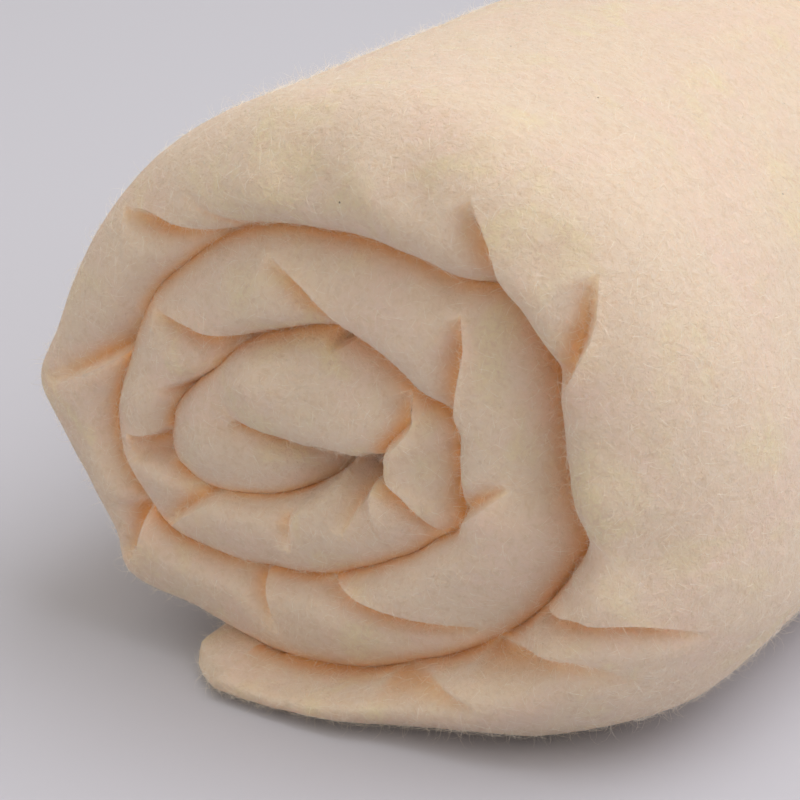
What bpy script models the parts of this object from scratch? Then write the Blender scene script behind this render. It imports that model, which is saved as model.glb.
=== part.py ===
"""Roll of quilt batting: one length of cotton wadding, folded to a thick band and wound up on itself.

Metres, +Z up. The roll lies on z = 0 with its axis along Y. Its open end, with the drawn-in folds,
faces -Y, and the loose end of the band is tucked under it, towards -X. The origin is on the
surface, under the middle of the roll.
"""

from collections import namedtuple
import math

import bmesh
import bpy
from mathutils import Matrix
import numpy as np

NAME = "batting_roll"
MM = 0.001

# Driving dimensions
LENGTH = 0.380             # width of the folded band, so the length of the roll along Y
EYE_HEIGHT = 0.092         # height of the eye of the winding above the surface
EYE_X = -0.0058            # the eye lies left of the roll's middle
FRONT_Y = -0.1845          # where the band's edge lies at the open end
TURN_STEPS = 96            # sections along one turn of the band
FRONT_COLUMNS = 8          # faces across the band's rounded edge at the open end
BACK_COLUMNS = 4           # the same at the plain end
WALL_ROWS = 7              # faces along the roll's outside
BEND_SOFTNESS = 1          # how far the band's bends are rounded, in sections
BACK_VALLEY = 0.020        # depth of the spiral valley at the plain end
EYE_GAP = 0.0012           # width of the slit in the eye
VALLEY_SHARE = 0.58        # the turns meet at this share of the valley's full depth
TUCK = 6                   # the outer turn's outside sinks into a valley over this many sections
LOOSE_END_STEPS = 6        # sections round the loose end of the band
LOOSE_END_BULGE = 0.0155   # how far the loose end rounds out past its last section
LOOSE_END_TILT = 0.45      # how much further its top rounds out than its bottom

# The band's outer side, wound inwards from the loose end and measured from the eye.
# angle: degrees, anticlockwise seen from -Y. radius, valley, lip: millimetres. valley is how
# deep the fold outside the band reaches, lip is how far the band's own edge is set back.
OUTER_TURN = [
    (248, 100, 3, -11),
    (262, 93, 12, -11),
    (275, 92, 18, -10),
    (288, 97, 26, -7),
    (308, 116, 48, -2),
    (324, 131, 62, 2),
    (340, 134, 66, 4),
    (360, 127, 64, 6),
    (382, 121, 56, 6),
    (405, 117, 44, 4),
    (430, 111, 34, 2),
    (453, 106, 28, 0),
    (476, 104, 24, 0),
    (500, 104, 18, 0),
    (522, 107, 14, 0),
    (534, 111, 13, 0),
    (543, 121, 12, 0),
    (550, 112, 12, 0),
    (560, 105, 12, 0),
    (572, 103, 12, 1),
]
SECOND_TURN = [
    (578, 112, 12, 2),
    (591, 95, 14, 3),
    (605, 88, 16, 4),
    (627, 81, 18, 3),
    (650, 75, 20, 2),
    (673, 77, 24, 2),
    (693, 83, 28, 2),
    (706, 86, 30, 2),
    (717, 75, 34, 3),
    (731, 73, 34, 4),
    (748, 77, 32, 4),
    (764, 80, 28, 3),
    (775, 70, 24, 2),
    (792, 66, 20, 2),
    (813, 65, 18, 1),
    (834, 69, 16, 0),
    (860, 72, 14, 0),
    (872, 76, 13, 0),
    (882, 77, 12, 0),
    (893, 79, 12, 0),
    (905, 85, 12, 0),
    (916, 86, 12, 0),
    (925, 83, 12, 1),
]
THIRD_TURN = [
    (936, 82, 14, 1),
    (944, 73, 16, 1),
    (961, 59, 18, 1),
    (974, 53, 18, 1),
    (997, 44, 18, 1),
    (1016, 41, 18, 1),
    (1041, 42, 18, 2),
    (1056, 47, 18, 3),
    (1066, 42, 20, 4),
    (1086, 41, 20, 4),
    (1097, 43, 20, 3),
    (1109, 37, 20, 2),
    (1120, 33, 20, 1),
    (1153, 34, 20, 0),
    (1201, 36, 18, -1),
    (1217, 40, 16, -1),
]
EYE_TURN = [
    (1242, 46, 12, 0),
    (1254, 54, 12, 1),
    (1262, 61, 12, 2),
    (1278, 66, 12, 2),
    (1287, 59, 12, 2),
    (1300, 41, 14, 3),
    (1314, 28, 20, 6),
    (1322, 22, 24, 12),
    (1330, 16, 28, 16),
    (1340, 11, 33, 19),
    (1350, 7, 38, 22),
]
# The slit that the innermost fold closes round, from right to left.
# x, z, depth: millimetres, from the eye.
SLIT = [
    (19, -3, 44),
    (8, -7, 40),
    (0, -7, 38),
    (-9, -7, 27),
    (-24, -4, 14),
    (-34, -1, 8),
]

# The pleats across the band's edge. Each runs from its deep root over a knee to its shallow tip.
# x, z: millimetres, from the eye. depth, reach: millimetres, at the root.
PLEATS = [
    # root       knee        tip          depth  reach
    ((-73, 21), (-92, 8), (-114, -5), 14, 16),
    ((-68, -40), (-78, -56), (-86, -68), 12, 14),
    ((-23, 66), (-52, 62), (-77, 60), 10, 14),
    ((58, 56), (49, 72), (41, 84), 14, 16),
    ((73, 30), (77, 46), (78, 66), 14, 16),
    ((69, -42), (92, -45), (118, -41), 18, 18),
    ((51, -57), (72, -65), (94, -66), 11, 16),
    ((14, -76), (34, -84), (56, -88), 8, 14),
    ((8, 39), (-8, 47), (-23, 57), 11, 12),
    ((-26, 30), (-48, 27), (-68, 29), 12, 13),
    ((-62, -6), (-60, 2), (-53, 10), 10, 10),
    ((-48, -24), (-62, -23), (-80, -27), 12, 12),
    ((-41, -28), (-54, -36), (-65, -47), 10, 12),
    ((-4, -46), (16, -52), (49, -51), 12, 13),
    ((-25, -50), (-23, -60), (-20, -71), 8, 12),
    ((42, -18), (51, -10), (61, -2), 12, 12),
    ((44, 16), (46, 32), (42, 47), 11, 12),
    ((20, -3), (25, -12), (36, -25), 10, 10),
    ((21, 2), (26, 10), (29, 24), 11, 10),
    ((17, -6), (12, -15), (4, -29), 8, 9),
]
PLEAT_TIP_REACH = 0.5      # a pleat's reach at its tip, as a share of its reach at the root
PLEAT_START = 0.015        # pleats are full up to this distance from the open end
PLEAT_RUN_OUT = 0.060      # and die out over this length of the roll's outside after it

BATTING_COLOUR = (0.87, 0.72, 0.56, 1.0)
BATTING_ROUGHNESS = 0.95
SHARP_ANGLE = math.radians(60)

Section = namedtuple("Section", "outer inner outer_depth inner_depth lip rim")


def between(one, two, share):
    return one + (two - one) * share


def clear_scene():
    for thing in list(bpy.data.objects):
        bpy.data.objects.remove(thing, do_unlink=True)


def softened(values, reach):
    """Values along the band, rounded by a bell of the given reach in sections."""
    offsets = np.arange(-3 * reach, 3 * reach + 1)
    weights = np.exp(-0.5 * (offsets / reach) ** 2)
    padded = np.pad(values, 3 * reach, mode="reflect", reflect_type="odd")
    return np.convolve(padded, weights / weights.sum(), mode="valid")


def wind(softness):
    """The band's outer side at each section: x and z, depth of the valley and set-back of the lip."""
    table = np.array(OUTER_TURN + SECOND_TURN + THIRD_TURN + EYE_TURN, dtype=float)
    angle, *columns = table.T
    step = 360.0 / TURN_STEPS
    angles = angle[0] + step * np.arange(round((angle[-1] - angle[0]) / step) + 1)
    radius, valley, lip = [softened(np.interp(angles, angle, c) * MM, softness) for c in columns]
    x = radius * np.cos(np.radians(angles))
    z = np.maximum(radius * np.sin(np.radians(angles)), -EYE_HEIGHT)
    return np.stack([x, z], axis=1), valley, lip


def slit_point(outer):
    """The place on the slit's nearer side that faces an outer point, and the slit's depth there."""
    x, z, depth = np.array(SLIT[::-1], dtype=float).T * MM
    place = np.clip(outer[0], x[0], x[-1])
    side = math.copysign(EYE_GAP / 2, outer[1])
    return np.array([place, np.interp(place, x, z) + side]), np.interp(place, x, depth)


def band_sections(softness):
    """Sections of the band from the loose end to the eye.

    A section's inner side lies on the outer side of the next turn, and on the slit in the last turn.
    rim is 1 where its outer side is the roll's outside, and 0 where that is in a valley.
    """
    outer, valley, lip = wind(softness)
    last = len(outer) - 1
    band = []
    for row in range(last):
        if row + TURN_STEPS <= last:
            inner, depth = outer[row + TURN_STEPS], valley[row + TURN_STEPS]
        else:
            inner, depth = slit_point(outer[row])
        rim = min(max((TURN_STEPS - row) / TUCK, 0.0), 1.0)
        band.append(Section(outer[row], inner, valley[row], depth, lip[row], rim))
    end = valley[last]
    band.append(Section(outer[last], outer[last], end, end, end * VALLEY_SHARE, 0.0))
    return band


def loose_end(first):
    """Sections that fan round the band's first inner point and close its loose end."""
    middle = (first.inner + first.outer) / 2
    arm = first.inner - middle
    bulge = np.array([-LOOSE_END_BULGE, 0.0])
    valley = first.inner_depth * VALLEY_SHARE
    fan = []
    for step in range(LOOSE_END_STEPS):
        turn = math.pi * step / LOOSE_END_STEPS
        share = step / LOOSE_END_STEPS
        rise = math.cos(turn)
        outer = middle + arm * rise + bulge * math.sin(turn) * (1 + LOOSE_END_TILT * rise)
        depth = between(first.inner_depth, first.outer_depth, share)
        lip = between(valley, first.lip, share)
        fan.append(Section(outer, first.inner, depth, first.inner_depth, lip, math.sin(turn / 2)))
    return fan


def rounded_edge(bm, section, columns):
    """Vertices over the band's rounded edge, from its outer to its inner side."""
    vertices = []
    for column in range(columns + 1):
        turn = math.pi * column / columns
        x, z = between(section.outer, section.inner, (1 - math.cos(turn)) / 2)
        outer_half = column * 2 < columns
        depth = section.outer_depth if outer_half else section.inner_depth
        depth *= between(VALLEY_SHARE, 1.0, section.rim if outer_half else 0.0)
        vertices.append(bm.verts.new((x, between(depth, section.lip, math.sin(turn)), z)))
    return vertices


def skin(bm, rows):
    """Faces between each row of vertices and the next."""
    for one, two in zip(rows, rows[1:]):
        for column in range(len(one) - 1):
            bm.faces.new((one[column], one[column + 1], two[column + 1], two[column]))


def wound_end(bm, sections, columns):
    """One end of the roll: the band's edge all the way in, closed by a floor in the eye's slit."""
    rows = [rounded_edge(bm, section, columns) for section in sections]
    skin(bm, rows)
    bm.faces.new([row[-1] for row in rows[-TURN_STEPS:]])
    return rows


def roll_mesh():
    """The wound band as one closed body: its two ends, and the roll's outside between them."""
    bm = bmesh.new()
    band = band_sections(BEND_SOFTNESS)
    front = wound_end(bm, loose_end(band[0]) + band, FRONT_COLUMNS)

    even = [section._replace(outer_depth=BACK_VALLEY, inner_depth=BACK_VALLEY, lip=0.0) for section in band]
    even[-1] = even[-1]._replace(lip=BACK_VALLEY)
    back = wound_end(bm, loose_end(even[0]) + even, BACK_COLUMNS)
    for vertex in {vertex for row in back for vertex in row}:
        vertex.co.y = LENGTH - vertex.co.y

    outside = LOOSE_END_STEPS + TURN_STEPS + 1
    starts = [row[0] for row in front[:outside]]
    stops = [row[0] for row in back[:outside]]
    rings = [starts]
    for step in range(1, WALL_ROWS):
        pairs = zip(starts, stops)
        rings.append([bm.verts.new(a.co.lerp(b.co, step / WALL_ROWS)) for a, b in pairs])
    rings.append(stops)
    skin(bm, rings)

    bmesh.ops.remove_doubles(bm, verts=bm.verts, dist=0.05 * MM)
    bmesh.ops.recalc_face_normals(bm, faces=bm.faces)
    mesh = bpy.data.meshes.new(NAME)
    bm.to_mesh(mesh)
    bm.free()
    return mesh


def nearest_on(points, run):
    """Distance of each point from a run of straight pieces, and how far along the run it is, 0 to 1."""
    gap = np.full(len(points), np.inf)
    share = np.zeros(len(points))
    for k, (start, stop) in enumerate(zip(run, run[1:])):
        along = stop - start
        t = np.clip((points - start) @ along / (along @ along), 0.0, 1.0)
        distance = np.linalg.norm(points - start - t[:, None] * along, axis=1)
        closer = distance < gap
        gap[closer] = distance[closer]
        share[closer] = (k + t[closer]) / (len(run) - 1)
    return gap, share


def press_pleats(mesh):
    """Draw the surface in along each pleat, deepest at its root."""
    count = len(mesh.vertices)
    places, normals = np.empty(count * 3), np.empty(count * 3)
    mesh.vertices.foreach_get("co", places)
    mesh.vertex_normals.foreach_get("vector", normals)
    places, normals = places.reshape(-1, 3), normals.reshape(-1, 3)
    fade = np.clip(1 - (places[:, 1] - PLEAT_START) / PLEAT_RUN_OUT, 0.0, 1.0)
    press = np.zeros(count)
    for root, knee, tip, depth, reach in PLEATS:
        run = np.array([root, knee, tip], dtype=float) * MM
        gap, share = nearest_on(places[:, [0, 2]], run)
        width = reach * MM * (1 - (1 - PLEAT_TIP_REACH) * share)
        trough = (1 + np.cos(math.pi * np.clip(gap / width, 0.0, 1.0))) / 2
        press += depth * MM * np.sqrt(1 - share) * trough * fade
    inward = np.array([0.0, 1.0, 0.0]) - normals
    places += inward / 2 * press[:, None]
    places[:, 2] = np.maximum(places[:, 2], -EYE_HEIGHT)
    mesh.vertices.foreach_set("co", places.ravel())
    mesh.update()


def batting_material():
    material = bpy.data.materials.new("cotton_batting")
    material.use_nodes = True
    shader = material.node_tree.nodes["Principled BSDF"]
    shader.inputs["Base Color"].default_value = BATTING_COLOUR
    shader.inputs["Roughness"].default_value = BATTING_ROUGHNESS
    shader.inputs["Metallic"].default_value = 0.0
    material.diffuse_color = BATTING_COLOUR
    return material


def main():
    clear_scene()
    collection = bpy.data.collections.new("Roll of quilt batting")
    bpy.context.scene.collection.children.link(collection)
    mesh = roll_mesh()
    press_pleats(mesh)
    mesh.transform(Matrix.Translation((EYE_X, FRONT_Y, EYE_HEIGHT)))
    mesh.shade_smooth()
    mesh.set_sharp_from_angle(angle=SHARP_ANGLE)
    mesh.materials.append(batting_material())
    collection.objects.link(bpy.data.objects.new(NAME, mesh))


main()
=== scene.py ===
"""The roll of quilt batting, dressed: its wound band with the drawn-in edge, and the fuzz on it.

Metres, +Z up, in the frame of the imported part. The band is wound from its loose end, under the roll,
inwards to the eye. The open end, with the drawn-in creases, faces -Y.
"""

from collections import namedtuple
import math

import bmesh
import bpy
from mathutils import Matrix, Vector, noise
import numpy as np


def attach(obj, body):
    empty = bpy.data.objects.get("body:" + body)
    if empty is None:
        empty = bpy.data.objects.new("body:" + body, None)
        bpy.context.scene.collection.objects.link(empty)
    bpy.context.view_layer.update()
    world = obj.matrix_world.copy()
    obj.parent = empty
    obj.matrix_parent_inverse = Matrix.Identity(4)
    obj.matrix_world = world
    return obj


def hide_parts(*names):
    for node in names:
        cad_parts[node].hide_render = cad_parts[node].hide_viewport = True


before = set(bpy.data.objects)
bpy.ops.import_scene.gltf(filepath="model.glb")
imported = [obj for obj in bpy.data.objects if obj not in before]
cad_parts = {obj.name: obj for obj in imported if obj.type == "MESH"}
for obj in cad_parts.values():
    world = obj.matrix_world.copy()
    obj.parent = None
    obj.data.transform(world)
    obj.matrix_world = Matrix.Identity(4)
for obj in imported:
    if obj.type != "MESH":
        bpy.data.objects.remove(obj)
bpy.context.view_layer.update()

MM = 0.001
ROLL = "batting_roll"

# The roll
LENGTH = 0.380             # width of the folded band, so the length of the roll along Y
EYE_HEIGHT = 0.092         # height of the eye of the winding above the surface
EYE_X = -0.0058            # the eye lies left of the roll's middle
FRONT_Y = -0.1845          # where the band's edge lies at the open end
BACK_VALLEY = 0.020        # depth of the spiral valley at the plain end
EYE_GAP = 0.0012           # width of the slit in the eye
VALLEY_SHARE = 0.80        # the turns meet at this share of the valley's full depth
LOOSE_END_BULGE = 0.0190   # how far the loose end rounds out past its last section
LOOSE_END_FULLNESS = 0.5   # how boxy the loose end is: 1 is round, less is boxier
LOOSE_END_SLANT = 0.8      # how much the loose end's edge slants back towards its top
LOOSE_END_TILT = 0.15      # how much further its top rounds out than its bottom
TUCK = 30                  # the outer turn's outside sinks into a valley over this many sections

# The fineness of the batting's surface
TURN_STEPS = 480           # sections along one turn of the band
FRONT_COLUMNS = 32         # faces across the band's edge at the open end
BACK_COLUMNS = 8           # the same at the plain end
WALL_ROWS = 50             # faces along the roll's outside
LOOSE_END_STEPS = 20       # sections round the loose end of the band
BEND_SOFTNESS = 3          # how far the band's bends are rounded, in sections
WELD = 0.02 * MM           # points this near each other become one

# How the band's edge is rounded across. crown: 2 is evenly crowned, more is flatter on top.
# drop: 0.5 falls upright into the valley, 1 falls at a slope.
Rounding = namedtuple("Rounding", "crown drop")
LOBE = Rounding(1.9, 0.66)         # between two valleys
EYE_LOBE = Rounding(2.4, 0.50)     # the eye's upper lobe, where it hangs over the slit
LOOSE_LOBE = Rounding(3.0, 0.50)   # the loose end, where the roll lies on it
EYE_LOBE_STRETCH = (1100, 1255)    # where on the band that lobe is, in degrees
RIM = Rounding(1.5, 0.50)          # where the outer turn rounds over to the roll's outside
LOOSE_RIM = Rounding(2.8, 0.50)    # the same at the loose end, which is blunt
CREST = 0.70                       # where across the band its edge stands out most
BLUNT_STRETCH = 35                 # degrees of the outer turn over which the blunt end gives way

# The band's outer side, wound inwards from the loose end and measured from the eye.
# angle: degrees, anticlockwise seen from -Y. radius, valley, lip: millimetres. valley is how
# deep the fold outside the band reaches, lip is how far the band's own edge is set back.
OUTER_TURN = [
    (248, 100, 3, -11),
    (262, 93, 7, -11),
    (275, 92, 12, -10),
    (288, 97, 22, -7),
    (308, 116, 48, -2),
    (324, 131, 62, 2),
    (340, 134, 66, 4),
    (360, 127, 64, 6),
    (382, 121, 56, 6),
    (405, 117, 44, 4),
    (430, 111, 34, 2),
    (453, 106, 28, 0),
    (476, 104, 24, 0),
    (500, 104, 18, 0),
    (522, 107, 14, 0),
    (534, 111, 13, 0),
    (543, 121, 12, 0),
    (550, 112, 12, 0),
    (560, 105, 12, 0),
    (572, 103, 12, 1),
]
SECOND_TURN = [
    (578, 112, 12, 2),
    (591, 95, 14, 3),
    (605, 88, 16, 4),
    (627, 81, 18, 3),
    (650, 75, 20, 2),
    (673, 77, 24, 2),
    (693, 80, 28, 2),
    (708, 83, 30, 2),
    (719, 74, 34, 3),
    (731, 73, 34, 4),
    (748, 77, 32, 4),
    (764, 80, 28, 3),
    (775, 70, 24, 2),
    (792, 66, 20, 2),
    (813, 65, 18, 1),
    (834, 69, 16, 0),
    (860, 72, 14, 0),
    (872, 76, 13, 0),
    (882, 77, 12, 0),
    (893, 79, 12, 0),
    (905, 85, 12, 0),
    (916, 86, 12, 0),
    (925, 83, 12, 1),
]
THIRD_TURN = [
    (936, 82, 14, 1),
    (944, 73, 16, 1),
    (961, 59, 18, 1),
    (974, 53, 18, 1),
    (997, 44, 18, 1),
    (1016, 41, 18, 1),
    (1041, 42, 18, 2),
    (1056, 47, 18, 3),
    (1066, 42, 20, 4),
    (1086, 41, 20, 4),
    (1097, 43, 20, 3),
    (1109, 37, 20, 2),
    (1120, 33, 20, 1),
    (1153, 34, 20, 0),
    (1201, 36, 18, -1),
    (1217, 40, 16, -1),
]
EYE_TURN = [
    (1242, 46, 12, 0),
    (1254, 54, 12, 1),
    (1262, 61, 12, 2),
    (1278, 66, 12, 2),
    (1287, 59, 12, 2),
    (1300, 41, 14, 3),
    (1314, 28, 20, 6),
    (1322, 22, 24, 12),
    (1330, 16, 28, 16),
    (1340, 11, 33, 19),
    (1350, 7, 38, 22),
]
# The slit that the innermost fold closes round, from right to left.
# x, z, depth: millimetres, from the eye.
SLIT = [
    (13, -5, 44),
    (8, -7, 40),
    (0, -7, 38),
    (-9, -7, 27),
    (-24, -4, 14),
    (-34, -1, 8),
]

# The creases across the band's edge, from root to tip. The run is the lip that the crease tucks
# under, which is crisp except at a soft fold. x, z, depth, gentle, steep: millimetres.
# wound: where on the band, in degrees as in the tables above, because a crease stays on its turn.
# depth: at its deepest. root: the share of it at the root. hold: how long the depth lasts, 1 for an
# even run-out, more for a deep tip. steep: how far its bottom lies in from the lip. gentle: how far
# the slope reaches beyond the bottom. side: where that slope lies, seen from the root towards the
# tip, 1 left and -1 right.
Crease = namedtuple("Crease", "run wound depth root hold gentle steep side")
CREASES = [
    # outer turn
    Crease([(-69, 19), (-78, 12), (-91, 4), (-109, -6)], 538, 10, 0.8, 2.0, 15, 3, -1),
    Crease([(-72, -42), (-74, -53), (-81, -63)], 575, 10, 1.0, 1.5, 13, 3, -1),
    Crease([(-25, 64), (-41, 61), (-56, 62), (-66, 63), (-77, 61)], 492, 9, 0.4, 5.0, 13, 3, 1),
    Crease([(-19, 66), (-29, 67), (-39, 70), (-49, 74)], 480, 3, 1.0, 1.3, 6, 5, 1),
    Crease([(62, 57), (57, 69), (53, 76), (47, 85)], 415, 14, 1.0, 2.5, 20, 4, 1),
    Crease([(78, 33), (84, 45), (86, 55), (84, 67)], 391, 12, 0.8, 2.5, 17, 3, 1),
    Crease(
        [(70, -40), (80, -37), (88, -34), (99, -34), (109, -36), (117, -40)],
        338, 12, 0.7, 3.0, 10, 3, -1,
    ),
    Crease(
        [(52, -54), (62, -53), (73, -50), (84, -48), (94, -50), (101, -55)],
        323, 9, 1.0, 1.4, 14, 5, -1,
    ),
    Crease([(21, -69), (34, -67), (46, -68), (56, -70)], 296, 8, 1.0, 1.5, 11, 5, -1),
    # second turn
    Crease([(9, 38), (-7, 50), (-21, 57)], 819, 9, 1.0, 1.6, 16, 3, 1),
    Crease([(-26, 29), (-40, 28), (-48, 29), (-57, 30), (-65, 31)], 872, 10, 0.7, 2.5, 14, 3, 1),
    Crease([(-47, 13), (-55, 9), (-62, 6)], 892, 9, 1.0, 3.0, 13, 3, 1),
    Crease([(-59, -7), (-69, -12), (-76, -13)], 910, 12, 0.9, 4.0, 12, 3, 1),
    Crease([(-48, -24), (-54, -23), (-67, -23), (-77, -25)], 921, 7, 1.0, 1.5, 10, 5, -1),
    Crease([(-41, -28), (-54, -37), (-65, -46)], 935, 8, 0.8, 1.8, 12, 3, -1),
    Crease([(-4, -48), (5, -49), (20, -50), (34, -50), (50, -50)], 656, 10, 0.6, 6.0, 13, 3, -1),
    Crease([(-29, -50), (-25, -58), (-23, -63), (-21, -71)], 609, 7, 1.0, 1.5, 9, 3, -1),
    Crease([(40, -21), (46, -15), (53, -9), (62, -1)], 709, 9, 0.3, 2.5, 9, 3, 1),
    Crease([(43, 14), (45, 30), (46, 40), (44, 49)], 756, 10, 0.8, 3.0, 13, 3, 1),
    # third turn and eye
    Crease([(-12, -29), (-14, -40)], 966, 5, 1.0, 1.2, 10, 4, -1),
    Crease([(18, -4), (13, -13), (10, -19), (5, -29)], 1022, 8, 1.0, 1.5, 14, 3, -1),
    Crease([(19, -5), (22, -8), (27, -11), (32, -16), (38, -23)], 1055, 8, 1.0, 6.0, 10, 3, -1),
    Crease([(19, -5), (21, 1), (25, 6), (28, 11), (27, 15), (25, 21)], 1097, 7, 1.0, 6.0, 9, 3, 1),
    Crease([(10, 37), (4, 32), (-1, 28)], 1163, 18, 1.0, 1.6, 9, 3, -1),
]
CREASE_SHARPNESS = 2.0     # how sharp the bottom of a crease is
CREASE_SWELL = 0.5         # share of a crease's length over which it reaches its full depth
CREASE_ROOT_CAP = 0.006    # how far a crease reaches back past its root
CREASE_TIP_WIDTH = 0.4     # how wide a crease still is where it runs out, against its full width
CREASE_BEND_STEPS = 2      # straight pieces between two points of a crease's run
VALLEY_FREE = 3.0          # how soon out of a valley a crease gets its full depth
SOFT_FOLD = 5              # a crease whose steep is this or more has no crisp lip
LIP_REACH = 0.0025         # faces this near a crease's lip are split along it
LIP_SNAP = 0.05 * MM       # points this near the split are taken to lie on it
CREASE_STRETCH = 70        # a crease stays within this many degrees of its place on the band
CREASE_START = 0.015       # creases are full up to this distance from the open end
CREASE_RUN_OUT = 0.060     # and die out over this length of the roll's outside after it

# Soft swellings and dents between the creases.
# x, z, reach, height: millimetres. A dent has a height below 0. first, last: where on the band, in
# degrees as in the tables above.
Swelling = namedtuple("Swelling", "x z reach height first last")
SWELLINGS = [
    Swelling(-24, 16, 9, 3.5, 1100, 1300),
    Swelling(-38, 4, 7, -2.5, 1100, 1350),
    Swelling(-45, -8, 12, 2.5, 1240, 1350),
    Swelling(-2, -13, 13, -8.0, 1290, 1350),
    Swelling(9, -12, 14, -9.0, 950, 1022),
    Swelling(-70, -1, 9, 2.0, 860, 960),
    Swelling(-21, 77, 9, 1.8, 246, 530),
    Swelling(-3, 82, 9, -1.4, 246, 530),
    Swelling(15, 84, 7, 1.8, 246, 530),
    Swelling(29, 84, 8, -2.2, 246, 530),
    Swelling(50, 90, 10, 1.8, 246, 530),
    Swelling(71, 71, 6, -2.2, 246, 530),
    Swelling(64, -56, 10, -5.0, 290, 360),
    Swelling(84, -14, 7, -3.0, 330, 365),
    Swelling(106, -16, 12, -3.5, 246, 400),
    Swelling(92, -30, 10, 2.5, 246, 400),
    Swelling(92, 2, 9, 2.0, 246, 400),
]
SWELLING_BORDER = 10.0     # swellings die out over this many degrees at their stretch's ends

BATTING_UNEVEN = 0.0007    # how far the batting's surface swells and sinks, and over what distance
BATTING_UNEVEN_SPAN = 0.030
FINE_UNEVEN = 0.00016      # the same for the small lumps in it
FINE_UNEVEN_SPAN = 0.006

# The fuzz: loose fibres on the batting. density: fibres on a square metre. length and thick:
# millimetres. low and high: how far they lean from upright, in degrees. arch: how far a fibre bows up
# from the surface, as a share of its length.
Fuzz = namedtuple("Fuzz", "name density length thick low high arch seed")
FUZZ = [
    Fuzz("lying_fibres", 50000, 4.8, 0.10, 80, 88, 0.06, 3),
    Fuzz("felted_fibres", 50000, 4.0, 0.09, 72, 88, 0.08, 11),
    Fuzz("short_fuzz", 50000, 2.4, 0.07, 25, 75, 0.10, 23),
    Fuzz("stray_hairs", 38000, 5.0, 0.06, 20, 80, 0.25, 31),
]
FIBRE_CURLS = (-0.45, -0.15, 0.12, 0.40)    # sideways bend of the fibres' shapes, share of length
FIBRE_SIDES = 3            # a fibre is a thin cone of this many sides
FIBRE_BENDS = 3            # in this many pieces along its length
FIBRE_SHORTEST = 0.5       # size of the smallest fibre, and of the largest
FIBRE_LONGEST = 1.5
LEAN_SEED = 5
HEADING_SEED = 6
SIZE_SEED = 7
FUZZ_FAR_SHARE = 0.45      # how dense the fuzz is away from the open end
FUZZ_NEAR = 0.09           # how far from the open end it is dense
FRAYED = 0.008             # the band's edge is frayed this far up from the surface it lies on
FRAYED_EXTRA = 4.0         # how much denser the fuzz is there
FUZZ_CLEAR = 0.001         # it thins out this far above the surface the roll lies on

# Colours, linear
CREAM = (0.86, 0.69, 0.53)
PEACH = (0.87, 0.67, 0.53)
STRAW = (0.86, 0.71, 0.48)
MOTTLE = (0.80, 0.61, 0.44)
# painted shade: the warm, darker colour laid into the creases and valleys, standing in for the light that
# bounces and scatters inside them
PAINTED_FOLD_SHADE = (0.84, 0.44, 0.16)
SEED_BROWN = (0.12, 0.06, 0.03)
FIBRE_WHITE = (0.96, 0.88, 0.77)
FLOOR_COLOUR = (0.54, 0.54, 0.59)

# The batting's cloudy colour. Each layer lies over the one before: none of it where the noise is at
# low, all of it at high.
Clouds = namedtuple("Clouds", "colour scale detail roughness distortion low high")
CLOUDS = [
    Clouds(PEACH, 28, 3, 0.55, 0.6, 0.42, 0.66),
    Clouds(STRAW, 36, 3, 0.55, 0.8, 0.51, 0.72),
    Clouds(MOTTLE, 380, 4, 0.60, 1.0, 0.42, 0.75),
]
# The batting's relief, finer than its mesh. height: metres.
Relief = namedtuple("Relief", "scale detail roughness distortion strength height")
LUMPS = Relief(150, 3, 0.55, 0.5, 0.8, 0.0022)
FELT = Relief(480, 5, 0.65, 1.5, 0.8, 0.0018)

SEEDS_PER_METRE = 45.0     # specks of seed lie about this many to a metre, through the batting
SEED_SIZE = 0.0004
PAINTED_SHADE_FROM = 0.15           # a point this deep in the folds starts to get the painted warm shade
PAINTED_SHADE_TO = 1.1              # and would be wholly of the painted shade at this depth
VALLEY_PAINTED_SHADE = 1.00       # how strong the painted warm shade in the valleys between the turns is against the creases
VALLEY_SHADE_FALL = 1.6     # how fast a valley's painted shade fades towards its edges
SOFT_FOLD_SHADE = 0.8       # how strong the painted shade in a soft fold is against a deep crisp crease
FULL_SHADE_DEPTH = 8        # a crisp crease gets the full painted shade from this depth, in millimetres

# The finishes, as the shader's sockets
BATTING_FINISH = {
    "Roughness": 0.95,
    "Specular IOR Level": 0.2,
    "Sheen Weight": 0.25,
    "Sheen Roughness": 0.6,
    "Subsurface Weight": 0.75,
    "Subsurface Radius": (1.0, 0.55, 0.25),
    "Subsurface Scale": 0.012,
}
FIBRE_FINISH = {"Base Color": (*FIBRE_WHITE, 1.0), "Roughness": 0.9, "Specular IOR Level": 0.1}
FLOOR_FINISH = {"Base Color": (*FLOOR_COLOUR, 1.0), "Roughness": 0.9, "Specular IOR Level": 0.1}

# The picture
CAMERA_AZIMUTH = math.radians(33.0)
CAMERA_ELEVATION = math.radians(23.0)
CAMERA_FROM_EYE = (0.3899, -0.5564, 0.3045)
CAMERA_LENS = 111.6
SENSOR_WIDTH = 36.0
FLOOR_RADIUS = 8.0

# The light. place and size: metres. power: watts.
Softbox = namedtuple("Softbox", "name place size power colour")
SOFTBOXES = [
    Softbox("top_softbox", (1.0, 0.6, 2.8), 2.4, 46.0, (0.94, 0.95, 1.0)),
    Softbox("side_softbox", (2.2, 0.2, 2.2), 2.4, 21.0, (0.96, 0.95, 1.0)),
    Softbox("front_softbox", (-0.2, -1.2, 2.7), 2.0, 5.0, (1.0, 0.94, 0.82)),
]
SOFTBOX_AIM = (0.0, 0.0, 0.09)
ROOM_COLOUR = (1.0, 0.95, 0.88)
ROOM_BRIGHTNESS = 0.65

# A cut across the band. outer, inner: x and z of its two sides. outer_depth, inner_depth: how deep
# the folds beside it reach. lip: how far its edge is set back. wound: the angle wound. rim: how far
# its outer side belongs to the roll's outside, 0 to 1.
Section = namedtuple("Section", "outer inner outer_depth inner_depth lip wound rim")
# What is noted at each point of the surface while it is shaped
Notes = namedtuple("Notes", "sunk wound rim")


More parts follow.
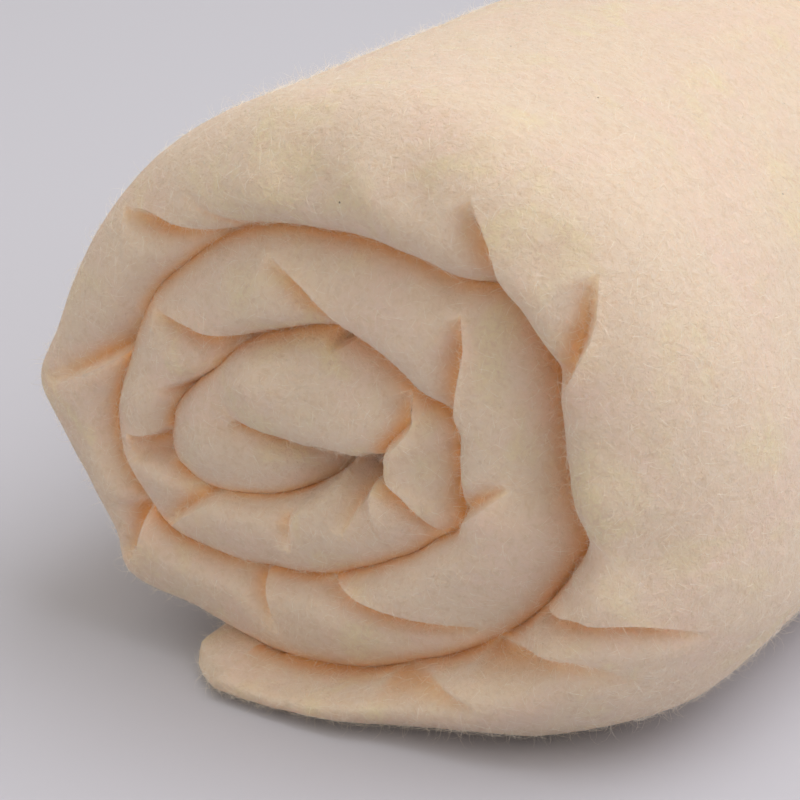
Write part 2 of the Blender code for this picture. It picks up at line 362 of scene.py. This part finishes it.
def between(one, two, share):
    """The value that lies a share of the way from one to two."""
    return one + (two - one) * share


def softened(values, reach):
    """Values along the band, rounded by a bell of the given reach in sections."""
    offsets = np.arange(-3 * reach, 3 * reach + 1)
    weights = np.exp(-0.5 * (offsets / reach) ** 2)
    padded = np.pad(values, 3 * reach, mode="reflect", reflect_type="odd")
    return np.convolve(padded, weights / weights.sum(), mode="valid")


def wind():
    """The band's outer side at each section: x and z, valley's depth, set-back of the lip, angle wound."""
    table = np.array(OUTER_TURN + SECOND_TURN + THIRD_TURN + EYE_TURN, dtype=float)
    angle, *columns = table.T
    step = 360.0 / TURN_STEPS
    angles = angle[0] + step * np.arange(round((angle[-1] - angle[0]) / step) + 1)
    radius, valley, lip = [softened(np.interp(angles, angle, c) * MM, BEND_SOFTNESS) for c in columns]
    x = radius * np.cos(np.radians(angles))
    z = np.maximum(radius * np.sin(np.radians(angles)), -EYE_HEIGHT)
    return np.stack([x, z], axis=1), valley, lip, angles


def slit_point(outer):
    """The place on the slit's nearer side that faces an outer point, and the slit's depth there."""
    x, z, depth = np.array(SLIT[::-1], dtype=float).T * MM
    place = np.clip(outer[0], x[0], x[-1])
    side = math.copysign(EYE_GAP / 2, outer[1])
    return np.array([place, np.interp(place, x, z) + side]), np.interp(place, x, depth)


def band_sections():
    """Sections of the band from the loose end to the eye.

    A section's inner side lies on the outer side of the next turn, and on the slit in the last turn.
    """
    outer, valley, lip, wound = wind()
    last = len(outer) - 1
    band = []
    for row in range(last):
        if row + TURN_STEPS <= last:
            inner, depth = outer[row + TURN_STEPS], valley[row + TURN_STEPS]
        else:
            inner, depth = slit_point(outer[row])
        rim = min(max((TURN_STEPS - row) / TUCK, 0.0), 1.0)
        band.append(Section(outer[row], inner, valley[row], depth, lip[row], wound[row], rim))
    end = valley[last]
    band.append(Section(outer[last], outer[last], end, end, end * VALLEY_SHARE, wound[last], 0.0))
    return band


def loose_end(first):
    """Sections that fan round the band's first inner point and close its loose end."""
    middle = (first.inner + first.outer) / 2
    arm = first.inner - middle
    bulge = np.array([-LOOSE_END_BULGE, 0.0])
    valley = first.inner_depth * VALLEY_SHARE
    fan = []
    for step in range(LOOSE_END_STEPS):
        turn = math.pi * step / LOOSE_END_STEPS
        share = step / LOOSE_END_STEPS
        rise = math.copysign(abs(math.cos(turn)) ** LOOSE_END_FULLNESS, math.cos(turn))
        swell = math.sin(turn) * (1 + LOOSE_END_TILT * rise)
        outer = middle + arm * rise + bulge * swell
        depth = between(first.inner_depth, first.outer_depth, share)
        lip = between(valley, first.lip, share ** LOOSE_END_SLANT)
        rim = math.sqrt(1 - (1 - share) ** 2)
        fan.append(Section(outer, first.inner, depth, first.inner_depth, lip, first.wound, rim))
    return fan


def rounding_at(section, outer_half):
    """How one half of a section's edge is rounded."""
    blunt = max(0.0, 1 - (section.wound - OUTER_TURN[0][0]) / BLUNT_STRETCH)
    if not outer_half:
        first, last = EYE_LOBE_STRETCH
        if first < section.wound < last:
            return EYE_LOBE
        return Rounding(*[between(one, two, blunt) for one, two in zip(LOBE, LOOSE_LOBE)])
    crown = between(LOBE.crown, between(RIM.crown, LOOSE_RIM.crown, blunt), section.rim)
    return Rounding(crown, between(LOBE.drop, RIM.drop, section.rim))


def rounded_edge(bm, notes, section, columns):
    """Vertices over the band's full edge, from its outer to its inner side.

    Noted at each: how deep it lies in a valley, 0 to 1, the angle wound, and how far it belongs to
    the rim, where the outer turn rounds over to the roll's outside.
    """
    vertices = []
    for column in range(columns + 1):
        across = (1 - math.cos(math.pi * column / columns)) / 2    # closer together in the valleys
        outer_half = across < CREST
        rim = section.rim if outer_half else 0.0
        rounding = rounding_at(section, outer_half)
        off_crest = (across - CREST) / (CREST if outer_half else 1 - CREST)
        rise = (1 - abs(off_crest) ** rounding.crown) ** rounding.drop
        x, z = between(section.outer, section.inner, across)
        depth = section.outer_depth if outer_half else section.inner_depth
        depth *= between(VALLEY_SHARE, 1.0, rim)
        vertex = bm.verts.new((x, between(depth, section.lip, rise), z))
        vertex[notes.sunk] = (1.0 - rise) * (1.0 - rim)
        vertex[notes.wound] = section.wound
        vertex[notes.rim] = rim
        vertices.append(vertex)
    return vertices


def skin(bm, rows):
    """Faces between each row of vertices and the next."""
    for one, two in zip(rows, rows[1:]):
        for column in range(len(one) - 1):
            bm.faces.new((one[column], one[column + 1], two[column + 1], two[column]))


def wound_end(bm, notes, sections, columns):
    """One end of the roll: the band's edge all the way in, closed by a floor in the eye's slit."""
    rows = [rounded_edge(bm, notes, section, columns) for section in sections]
    skin(bm, rows)
    bm.faces.new([row[-1] for row in rows[-TURN_STEPS:]])
    return rows


def roll_mesh():
    """The wound band as one closed body: its two ends, and the roll's outside between them."""
    bm = bmesh.new()
    layers = bm.verts.layers.float
    for name in Notes._fields:
        layers.new(name)
    notes = Notes(*[layers[name] for name in Notes._fields])
    band = band_sections()
    front = wound_end(bm, notes, loose_end(band[0]) + band, FRONT_COLUMNS)

    even = [section._replace(outer_depth=BACK_VALLEY, inner_depth=BACK_VALLEY, lip=0.0) for section in band]
    even[-1] = even[-1]._replace(lip=BACK_VALLEY)
    back = wound_end(bm, notes, loose_end(even[0]) + even, BACK_COLUMNS)
    for vertex in {vertex for row in back for vertex in row}:
        vertex.co.y = LENGTH - vertex.co.y

    outside = LOOSE_END_STEPS + TURN_STEPS + 1
    starts = [row[0] for row in front[:outside]]
    stops = [row[0] for row in back[:outside]]
    rings = [starts]
    for step in range(1, WALL_ROWS):
        pairs = zip(starts, stops)
        rings.append([bm.verts.new(a.co.lerp(b.co, step / WALL_ROWS)) for a, b in pairs])
        for vertex in rings[-1]:
            vertex[notes.rim] = 1.0
    rings.append(stops)
    skin(bm, rings)

    bmesh.ops.remove_doubles(bm, verts=bm.verts, dist=WELD)
    bmesh.ops.recalc_face_normals(bm, faces=bm.faces)
    for face in bm.faces:
        face.smooth = True
    mesh = bpy.data.meshes.new(ROLL)
    bm.to_mesh(mesh)
    bm.free()
    return mesh


def read_note(mesh, name):
    """What was noted under a name at each point."""
    values = np.empty(len(mesh.vertices))
    mesh.attributes[name].data.foreach_get("value", values)
    return values


def read_points(mesh):
    """Where each point lies."""
    places = np.empty(len(mesh.vertices) * 3)
    mesh.vertices.foreach_get("co", places)
    return places.reshape(-1, 3)


def read_normals(mesh):
    """The way out of the surface at each point."""
    normals = np.empty(len(mesh.vertices) * 3)
    mesh.vertex_normals.foreach_get("vector", normals)
    return normals.reshape(-1, 3)


def inward(mesh):
    """The way into the batting at each point: along the roll, and slanting in from the rim."""
    straight = np.array([0.0, 1.0, 0.0])
    return straight - (straight + read_normals(mesh)) * read_note(mesh, "rim")[:, None] / 2


def write_points(mesh, places):
    """Move each point to its new place."""
    mesh.vertices.foreach_set("co", places.ravel())
    mesh.update()


def bent_run(points):
    """A smooth run through a crease's points, in metres."""
    points = np.array(points, dtype=float) * MM
    before, after = 2 * points[0] - points[1], 2 * points[-1] - points[-2]
    knots = np.concatenate([[before], points, [after]])
    run = [points[0]]
    for a, b, c, d in zip(knots, knots[1:], knots[2:], knots[3:]):
        for step in range(1, CREASE_BEND_STEPS + 1):
            t = step / CREASE_BEND_STEPS
            bend = (2 * a - 5 * b + 4 * c - d) * t ** 2 + (3 * b - a - 3 * c + d) * t ** 3
            run.append(b + ((c - a) * t + bend) / 2)
    return np.array(run)


def nearest_on(points, run):
    """For each point: where on a run of straight pieces it lies, as a share from 0 to 1, its distance
    from the run, above 0 to the left of it and below 0 to its right, and how far it lies before the
    run's start."""
    gap = np.full(len(points), np.inf)
    share = np.zeros(len(points))
    for k, (start, stop) in enumerate(zip(run, run[1:])):
        along = stop - start
        t = np.clip((points - start) @ along / (along @ along), 0.0, 1.0)
        off = points - start
        left = np.sign(along[0] * off[:, 1] - along[1] * off[:, 0])
        distance = np.linalg.norm(off - t[:, None] * along, axis=1)
        closer = distance < np.abs(gap)
        gap[closer] = (distance * left)[closer]
        share[closer] = (k + t[closer]) / (len(run) - 1)
    first = run[1] - run[0]
    before = np.maximum((run[0] - points) @ first / np.linalg.norm(first), 0.0)
    return share, gap, np.where(share > 0, 0.0, before)


def split_faces(bm, faces, run):
    """Split faces along a run, and keep the run's edges crisp."""
    for start, stop in zip(run, run[1:]):
        along = stop - start
        centres = np.array([face.calc_center_median() for face in faces])[:, [0, 2]] - start
        t = np.clip(centres @ along / (along @ along), 0.0, 1.0)
        close = np.linalg.norm(centres - t[:, None] * along, axis=1) < LIP_REACH
        crossed = [face for face, is_close in zip(faces, close) if is_close]
        edges = {edge for face in crossed for edge in face.edges}
        verts = {vertex for face in crossed for vertex in face.verts}
        to_side = Vector((-along[1], 0.0, along[0])).normalized()
        cut = bmesh.ops.bisect_plane(
            bm, geom=[*verts, *edges, *crossed], dist=LIP_SNAP,
            plane_co=(start[0], 0.0, start[1]), plane_no=to_side,
        )
        for part in cut["geom_cut"]:
            if isinstance(part, bmesh.types.BMEdge):
                part.smooth = False
        fresh = [part for part in cut["geom"] if isinstance(part, bmesh.types.BMFace)]
        faces = list(dict.fromkeys([face for face in faces if face.is_valid] + fresh))


def split_at_lips(mesh):
    """Split the faces that a crease's lip crosses, so that the lip is one clean line of edges."""
    bm = bmesh.new()
    bm.from_mesh(mesh)
    layer = bm.verts.layers.float["wound"]
    front = [face for face in bm.faces if face.verts[0].co.y < CREASE_START + CREASE_RUN_OUT]
    centres = np.array([face.calc_center_median() for face in front])[:, [0, 2]]
    wound = np.array([face.verts[0][layer] for face in front])
    for crease in CREASES:
        if crease.steep >= SOFT_FOLD:
            continue
        run = bent_run(crease.run)
        low, high = run.min(axis=0) - LIP_REACH, run.max(axis=0) + LIP_REACH
        near = ((centres > low) & (centres < high)).all(axis=1)
        near &= np.abs(wound - crease.wound) < CREASE_STRETCH
        split_faces(bm, [front[k] for k in np.nonzero(near)[0] if front[k].is_valid], run)
    bm.to_mesh(mesh)
    bm.free()


def press_creases(mesh):
    """Draw the surface in along each crease, and return how deep in a crease each point lies, as the weight
    of the painted warm shade there.
    """
    places = read_points(mesh)
    wound = read_note(mesh, "wound")
    fade = np.clip(1 - (places[:, 1] - CREASE_START) / CREASE_RUN_OUT, 0.0, 1.0)
    shallow = np.clip(VALLEY_FREE * (1 - read_note(mesh, "sunk")), 0.0, 1.0)
    press = np.zeros(len(places))
    crease_shade = np.zeros(len(places))
    for crease in CREASES:
        share, gap, before = nearest_on(places[:, [0, 2]], bent_run(crease.run))
        swell = between(crease.root, 1.0, np.clip(share / CREASE_SWELL, 0.0, 1.0))
        run_out = swell * np.sqrt(1 - share ** crease.hold)
        narrow = between(CREASE_TIP_WIDTH, 1.0, run_out) * MM
        inside = gap * crease.side / narrow
        wall = np.clip(inside / crease.steep, 0.0, 1.0)
        if crease.steep >= SOFT_FOLD:
            wall = wall ** 2 * (3 - 2 * wall)
        slope = np.clip((inside - crease.steep) / crease.gentle, 0.0, 1.0)
        trough = wall * (1 - slope) ** CREASE_SHARPNESS
        trough *= run_out * fade * np.clip(1 - before / CREASE_ROOT_CAP, 0.0, 1.0)
        trough *= np.abs(wound - crease.wound) < CREASE_STRETCH
        press += crease.depth * MM * trough * shallow
        # how strongly this crease takes the painted shade: a soft fold evenly, a crisp crease the more the
        # deeper it is
        crease_shade_weight = SOFT_FOLD_SHADE if crease.steep >= SOFT_FOLD else min(crease.depth / FULL_SHADE_DEPTH, 1.0)
        crease_shade = np.maximum(crease_shade, trough * crease_shade_weight)
    write_points(mesh, places + inward(mesh) * press[:, None])
    return crease_shade


def raise_swellings(mesh):
    """Raise the soft swellings and sink the dents near the open end."""
    places = read_points(mesh)
    wound = read_note(mesh, "wound")
    fade = np.clip(1 - (places[:, 1] - CREASE_START) / CREASE_RUN_OUT, 0.0, 1.0)
    rise = np.zeros(len(places))
    for one in SWELLINGS:
        off = (places[:, [0, 2]] / MM - (one.x, one.z)) / one.reach
        own = np.clip(np.minimum(wound - one.first, one.last - wound) / SWELLING_BORDER, 0.0, 1.0)
        rise += one.height * MM * np.exp(-(off ** 2).sum(axis=1)) * fade * own
    write_points(mesh, places - inward(mesh) * rise[:, None])


def unsettle(mesh):
    """Make the surface a little uneven, as loose batting is."""
    places = read_points(mesh)
    normals = read_normals(mesh)
    swell = np.array([
        BATTING_UNEVEN * noise.noise(Vector(p) / BATTING_UNEVEN_SPAN)
        + FINE_UNEVEN * noise.noise(Vector(p) / FINE_UNEVEN_SPAN)
        for p in places
    ])
    write_points(mesh, places + normals * swell[:, None])


def lay_flat(mesh):
    """Nothing reaches below the surface that the roll lies on."""
    places = read_points(mesh)
    places[:, 2] = np.maximum(places[:, 2], -EYE_HEIGHT)
    write_points(mesh, places)


def note_painted_fold_shade(mesh, crease_shade):
    """Keep how deep each point lies in the folds and valleys, 0 to 1, for the painted warm shade there."""
    sunk = read_note(mesh, "sunk") ** VALLEY_SHADE_FALL
    fold_shade = mesh.attributes.new("fold_shade", "FLOAT", "POINT")
    fold_shade.data.foreach_set("value", np.clip(np.maximum(VALLEY_PAINTED_SHADE * sunk, crease_shade), 0.0, 1.0))
    for name in Notes._fields:
        mesh.attributes.remove(mesh.attributes[name])


def note_fuzz(mesh):
    """Keep how dense the fuzz grows at each point: most near the open end, none underneath."""
    places = read_points(mesh)
    far = np.clip(places[:, 1] / FUZZ_NEAR - 1, 0.0, 1.0)
    height = places[:, 2] + EYE_HEIGHT
    clear = np.clip(height / FUZZ_CLEAR, 0.0, 1.0)
    frayed = np.clip(1 - height / FRAYED, 0.0, 1.0) * (places[:, 1] < CREASE_START)
    thick = mesh.attributes.new("fuzz", "FLOAT", "POINT")
    share = between(1.0, FUZZ_FAR_SHARE, far) + FRAYED_EXTRA * frayed
    thick.data.foreach_set("value", share * clear)


def link(tree, out_node, out_name, in_node, in_name):
    """Lead one node's named output to another's named input."""
    tree.links.new(out_node.outputs[out_name], in_node.inputs[in_name])


def add_node(tree, kind, **settings):
    """A new node with its own settings."""
    node = tree.nodes.new(kind)
    for name, value in settings.items():
        setattr(node, name, value)
    return node


def noise_node(tree, place, pattern):
    """A noise on the piece's own coordinates, as coarse and as broken up as the pattern says."""
    texture = add_node(tree, "ShaderNodeTexNoise")
    texture.inputs["Scale"].default_value = pattern.scale
    texture.inputs["Detail"].default_value = pattern.detail
    texture.inputs["Roughness"].default_value = pattern.roughness
    texture.inputs["Distortion"].default_value = pattern.distortion
    link(tree, place, "Object", texture, "Vector")
    return texture


def ramp_node(tree, source, output, low, high):
    """A value from 0 at low to 1 at high."""
    ramp = add_node(tree, "ShaderNodeMapRange", interpolation_type="SMOOTHSTEP")
    ramp.inputs["From Min"].default_value = low
    ramp.inputs["From Max"].default_value = high
    link(tree, source, output, ramp, "Value")
    return ramp


def mix_colour(tree, factor, factor_output, first, second):
    """Blend of two colours. Each is a colour or a node with a colour result."""
    mix = add_node(tree, "ShaderNodeMix", data_type="RGBA")
    link(tree, factor, factor_output, mix, "Factor")
    for socket, colour in ((6, first), (7, second)):
        if isinstance(colour, tuple):
            mix.inputs[socket].default_value = (*colour, 1.0)
        else:
            tree.links.new(colour.outputs[2], mix.inputs[socket])
    return mix


def add_bump(tree, place, relief, under=None):
    """Fine relief, over another relief where one is given."""
    bump = add_node(tree, "ShaderNodeBump")
    bump.inputs["Strength"].default_value = relief.strength
    bump.inputs["Distance"].default_value = relief.height
    link(tree, noise_node(tree, place, relief), "Fac", bump, "Height")
    if under:
        link(tree, under, "Normal", bump, "Normal")
    return bump


def new_material(name, finish):
    """A material whose shader has its sockets set as the finish says."""
    material = bpy.data.materials.new(name)
    material.use_nodes = True
    shader = material.node_tree.nodes["Principled BSDF"]
    for socket, value in finish.items():
        shader.inputs[socket].default_value = value
    return material


def batting_material():
    """Cream cotton wadding: cloudy tone, painted warm shade in the folds, felted fibres, a few specks of
    seed.
    """
    material = new_material("cotton_batting", BATTING_FINISH)
    tree = material.node_tree
    shader = tree.nodes["Principled BSDF"]
    shader.subsurface_method = "BURLEY"
    place = add_node(tree, "ShaderNodeTexCoord")

    colour = CREAM
    for clouds in CLOUDS:
        spread = ramp_node(tree, noise_node(tree, place, clouds), "Fac", clouds.low, clouds.high)
        colour = mix_colour(tree, spread, "Result", colour, clouds.colour)
    # painted shade: the folds and valleys turn a darker warm colour, standing in for the light bounced
    # inside them
    fold_shade = add_node(tree, "ShaderNodeAttribute", attribute_name="fold_shade")
    painted_shade = ramp_node(tree, fold_shade, "Fac", PAINTED_SHADE_FROM, PAINTED_SHADE_TO)
    colour = mix_colour(tree, painted_shade, "Result", colour, PAINTED_FOLD_SHADE)

    seeds = add_node(tree, "ShaderNodeTexVoronoi")
    seeds.inputs["Scale"].default_value = SEEDS_PER_METRE
    link(tree, place, "Object", seeds, "Vector")
    seed_edge = SEED_SIZE * SEEDS_PER_METRE
    off_seed = ramp_node(tree, seeds, "Distance", 0.5 * seed_edge, seed_edge)
    colour = mix_colour(tree, off_seed, "Result", SEED_BROWN, colour)
    tree.links.new(colour.outputs[2], shader.inputs["Base Color"])

    lumps = add_bump(tree, place, LUMPS)
    link(tree, add_bump(tree, place, FELT, lumps), "Normal", shader, "Normal")
    return material


def random_node(tree, low, high, seed):
    """A random value for each fibre."""
    node = add_node(tree, "FunctionNodeRandomValue", data_type="FLOAT")
    node.inputs[2].default_value = low
    node.inputs[3].default_value = high
    node.inputs["Seed"].default_value = seed
    return node


def math_node(tree, operation, first, second=0.0):
    """Arithmetic on one value or two. Each is a number or a node output."""
    node = add_node(tree, "ShaderNodeMath", operation=operation)
    for socket, value in zip(node.inputs, (first, second)):
        if isinstance(value, (int, float)):
            socket.default_value = value
        else:
            tree.links.new(value, socket)
    return node.outputs[0]


def fibre_shape(tree, entry, curl):
    """One closed fibre, standing on its thick end, bowed one way and curled the other."""
    cone = add_node(tree, "GeometryNodeMeshCone", fill_type="NGON")
    cone.inputs["Vertices"].default_value = FIBRE_SIDES
    cone.inputs["Side Segments"].default_value = FIBRE_BENDS
    cone.inputs["Radius Top"].default_value = 0.0
    link(tree, entry, "Thickness", cone, "Radius Bottom")
    link(tree, entry, "Length", cone, "Depth")

    position = add_node(tree, "GeometryNodeInputPosition")
    parts = add_node(tree, "ShaderNodeSeparateXYZ")
    link(tree, position, "Position", parts, "Vector")
    share = math_node(tree, "DIVIDE", parts.outputs["Z"], entry.outputs["Length"])
    sideways = math_node(tree, "MULTIPLY", math_node(tree, "POWER", share, 2.0), curl)
    wave = math_node(tree, "SINE", math_node(tree, "MULTIPLY", share, math.pi))
    upwards = math_node(tree, "MULTIPLY", wave, entry.outputs["Arch"])
    offset = add_node(tree, "ShaderNodeCombineXYZ")
    tree.links.new(math_node(tree, "MULTIPLY", sideways, entry.outputs["Length"]), offset.inputs["X"])
    tree.links.new(math_node(tree, "MULTIPLY", upwards, entry.outputs["Length"]), offset.inputs["Y"])
    bend = add_node(tree, "GeometryNodeSetPosition")
    link(tree, cone, "Mesh", bend, "Geometry")
    link(tree, offset, "Vector", bend, "Offset")
    return bend


def fuzz_tree():
    """Node group that grows fibres on a surface, thick and thin as its "fuzz" attribute says."""
    tree = bpy.data.node_groups.new("fuzz", "GeometryNodeTree")
    face = tree.interface
    face.new_socket("Geometry", in_out="INPUT", socket_type="NodeSocketGeometry")
    for name in ("Density", "Length", "Thickness", "Low Lean", "High Lean", "Arch"):
        face.new_socket(name, in_out="INPUT", socket_type="NodeSocketFloat")
    face.new_socket("Seed", in_out="INPUT", socket_type="NodeSocketInt")
    face.new_socket("Material", in_out="INPUT", socket_type="NodeSocketMaterial")
    face.new_socket("Geometry", in_out="OUTPUT", socket_type="NodeSocketGeometry")
    entry = add_node(tree, "NodeGroupInput")
    leave = add_node(tree, "NodeGroupOutput")

    thick = add_node(tree, "GeometryNodeInputNamedAttribute", data_type="FLOAT")
    thick.inputs["Name"].default_value = "fuzz"
    density = math_node(tree, "MULTIPLY", thick.outputs["Attribute"], entry.outputs["Density"])
    scatter = add_node(tree, "GeometryNodeDistributePointsOnFaces", distribute_method="RANDOM")
    link(tree, entry, "Geometry", scatter, "Mesh")
    tree.links.new(density, scatter.inputs["Density"])
    link(tree, entry, "Seed", scatter, "Seed")

    lean = add_node(tree, "FunctionNodeRandomValue", data_type="FLOAT")
    link(tree, entry, "Low Lean", lean, "Min")
    link(tree, entry, "High Lean", lean, "Max")
    lean.inputs["Seed"].default_value = LEAN_SEED
    heading = random_node(tree, 0.0, 2 * math.pi, HEADING_SEED)
    angles = add_node(tree, "ShaderNodeCombineXYZ")
    tree.links.new(lean.outputs[1], angles.inputs["X"])
    tree.links.new(heading.outputs[1], angles.inputs["Z"])
    turn = add_node(tree, "FunctionNodeEulerToRotation")
    link(tree, angles, "Vector", turn, "Euler")
    rotate = add_node(tree, "FunctionNodeRotateRotation", rotation_space="LOCAL")
    link(tree, scatter, "Rotation", rotate, "Rotation")
    link(tree, turn, "Rotation", rotate, "Rotate By")

    shapes = add_node(tree, "GeometryNodeJoinGeometry")
    for curl in FIBRE_CURLS:
        one = add_node(tree, "GeometryNodeGeometryToInstance")
        link(tree, fibre_shape(tree, entry, curl), "Geometry", one, "Geometry")
        link(tree, one, "Instances", shapes, "Geometry")
    size = random_node(tree, FIBRE_SHORTEST, FIBRE_LONGEST, SIZE_SEED)
    plant = add_node(tree, "GeometryNodeInstanceOnPoints")
    plant.inputs["Pick Instance"].default_value = True
    link(tree, scatter, "Points", plant, "Points")
    link(tree, shapes, "Geometry", plant, "Instance")
    link(tree, rotate, "Rotation", plant, "Rotation")
    tree.links.new(size.outputs[1], plant.inputs["Scale"])

    realize = add_node(tree, "GeometryNodeRealizeInstances")
    paint = add_node(tree, "GeometryNodeSetMaterial")
    link(tree, plant, "Instances", realize, "Geometry")
    link(tree, realize, "Geometry", paint, "Geometry")
    link(tree, entry, "Material", paint, "Material")
    link(tree, paint, "Geometry", leave, "Geometry")
    return tree


def grow_fuzz(roll, tree, material, fuzz):
    """One kind of fibres over the whole roll, as a plain mesh."""
    piece = bpy.data.objects.new(fuzz.name, roll.data.copy())
    bpy.context.scene.collection.objects.link(piece)
    grower = piece.modifiers.new("fuzz", "NODES")
    grower.node_group = tree
    settings = {
        "Density": float(fuzz.density),
        "Length": fuzz.length * MM,
        "Thickness": fuzz.thick / 2 * MM,
        "Low Lean": math.radians(fuzz.low),
        "High Lean": math.radians(fuzz.high),
        "Arch": fuzz.arch,
        "Seed": fuzz.seed,
        "Material": material,
    }
    for item in tree.interface.items_tree:
        if item.in_out == "INPUT" and item.name in settings:
            grower[item.identifier] = settings[item.name]
    view = bpy.context.evaluated_depsgraph_get()
    mesh = bpy.data.meshes.new_from_object(piece.evaluated_get(view))
    piece.modifiers.remove(grower)
    piece.data = mesh
    places = read_points(mesh)
    places[:, 2] = np.maximum(places[:, 2], 0.0)    # no fibre reaches into the surface below
    write_points(mesh, places)
    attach(piece, "root")


def dress_roll():
    """The roll's fine surface, in place of its plain solid."""
    mesh = roll_mesh()
    split_at_lips(mesh)
    crease_shade = press_creases(mesh)
    raise_swellings(mesh)
    unsettle(mesh)
    lay_flat(mesh)
    note_painted_fold_shade(mesh, crease_shade)
    note_fuzz(mesh)
    mesh.transform(Matrix.Translation((EYE_X, FRONT_Y, EYE_HEIGHT)))
    mesh.materials.append(batting_material())
    roll = bpy.data.objects.new("wound_batting", mesh)
    bpy.context.scene.collection.objects.link(roll)
    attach(roll, "root")
    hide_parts(ROLL)
    return roll


def lay_floor():
    """The pale surface that the roll lies on."""
    mesh = bpy.data.meshes.new("floor")
    bm = bmesh.new()
    bmesh.ops.create_circle(bm, cap_ends=True, segments=64, radius=FLOOR_RADIUS)
    bm.to_mesh(mesh)
    bm.free()
    mesh.materials.append(new_material("studio_floor", FLOOR_FINISH))
    floor = bpy.data.objects.new("floor", mesh)
    bpy.context.scene.collection.objects.link(floor)


def set_camera():
    """The picture's camera, aimed along its azimuth and elevation."""
    azimuth, elevation = CAMERA_AZIMUTH, CAMERA_ELEVATION
    back = Vector((
        math.sin(azimuth) * math.cos(elevation),
        -math.cos(azimuth) * math.cos(elevation),
        math.sin(elevation),
    ))
    camera = bpy.data.objects.new("camera", bpy.data.cameras.new("camera"))
    camera.data.lens = CAMERA_LENS
    camera.data.sensor_width = SENSOR_WIDTH
    camera.location = Vector((EYE_X, FRONT_Y, EYE_HEIGHT)) + Vector(CAMERA_FROM_EYE)
    camera.rotation_euler = back.to_track_quat("Z", "Y").to_euler()
    bpy.context.scene.collection.objects.link(camera)
    bpy.context.scene.camera = camera


def set_light():
    """Soft lights from above and behind, from the right and weakly from the front, in a pale room."""
    for box in SOFTBOXES:
        light = bpy.data.lights.new(box.name, "AREA")
        light.shape = "SQUARE"
        light.size = box.size
        light.energy = box.power
        light.color = box.colour
        softbox = bpy.data.objects.new(box.name, light)
        softbox.location = box.place
        aim = Vector(SOFTBOX_AIM) - Vector(box.place)
        softbox.rotation_euler = aim.to_track_quat("-Z", "Y").to_euler()
        bpy.context.scene.collection.objects.link(softbox)
    room = bpy.data.worlds.new("studio")
    room.use_nodes = True
    background = room.node_tree.nodes["Background"]
    background.inputs["Color"].default_value = (*ROOM_COLOUR, 1.0)
    background.inputs["Strength"].default_value = ROOM_BRIGHTNESS
    bpy.context.scene.world = room
    bpy.context.scene.view_settings.view_transform = "Standard"


set_camera()
set_light()
lay_floor()
roll = dress_roll()
fibre_tree = fuzz_tree()
fibre_finish = new_material("cotton_fibre", FIBRE_FINISH)
for fuzz in FUZZ:
    grow_fuzz(roll, fibre_tree, fibre_finish, fuzz)
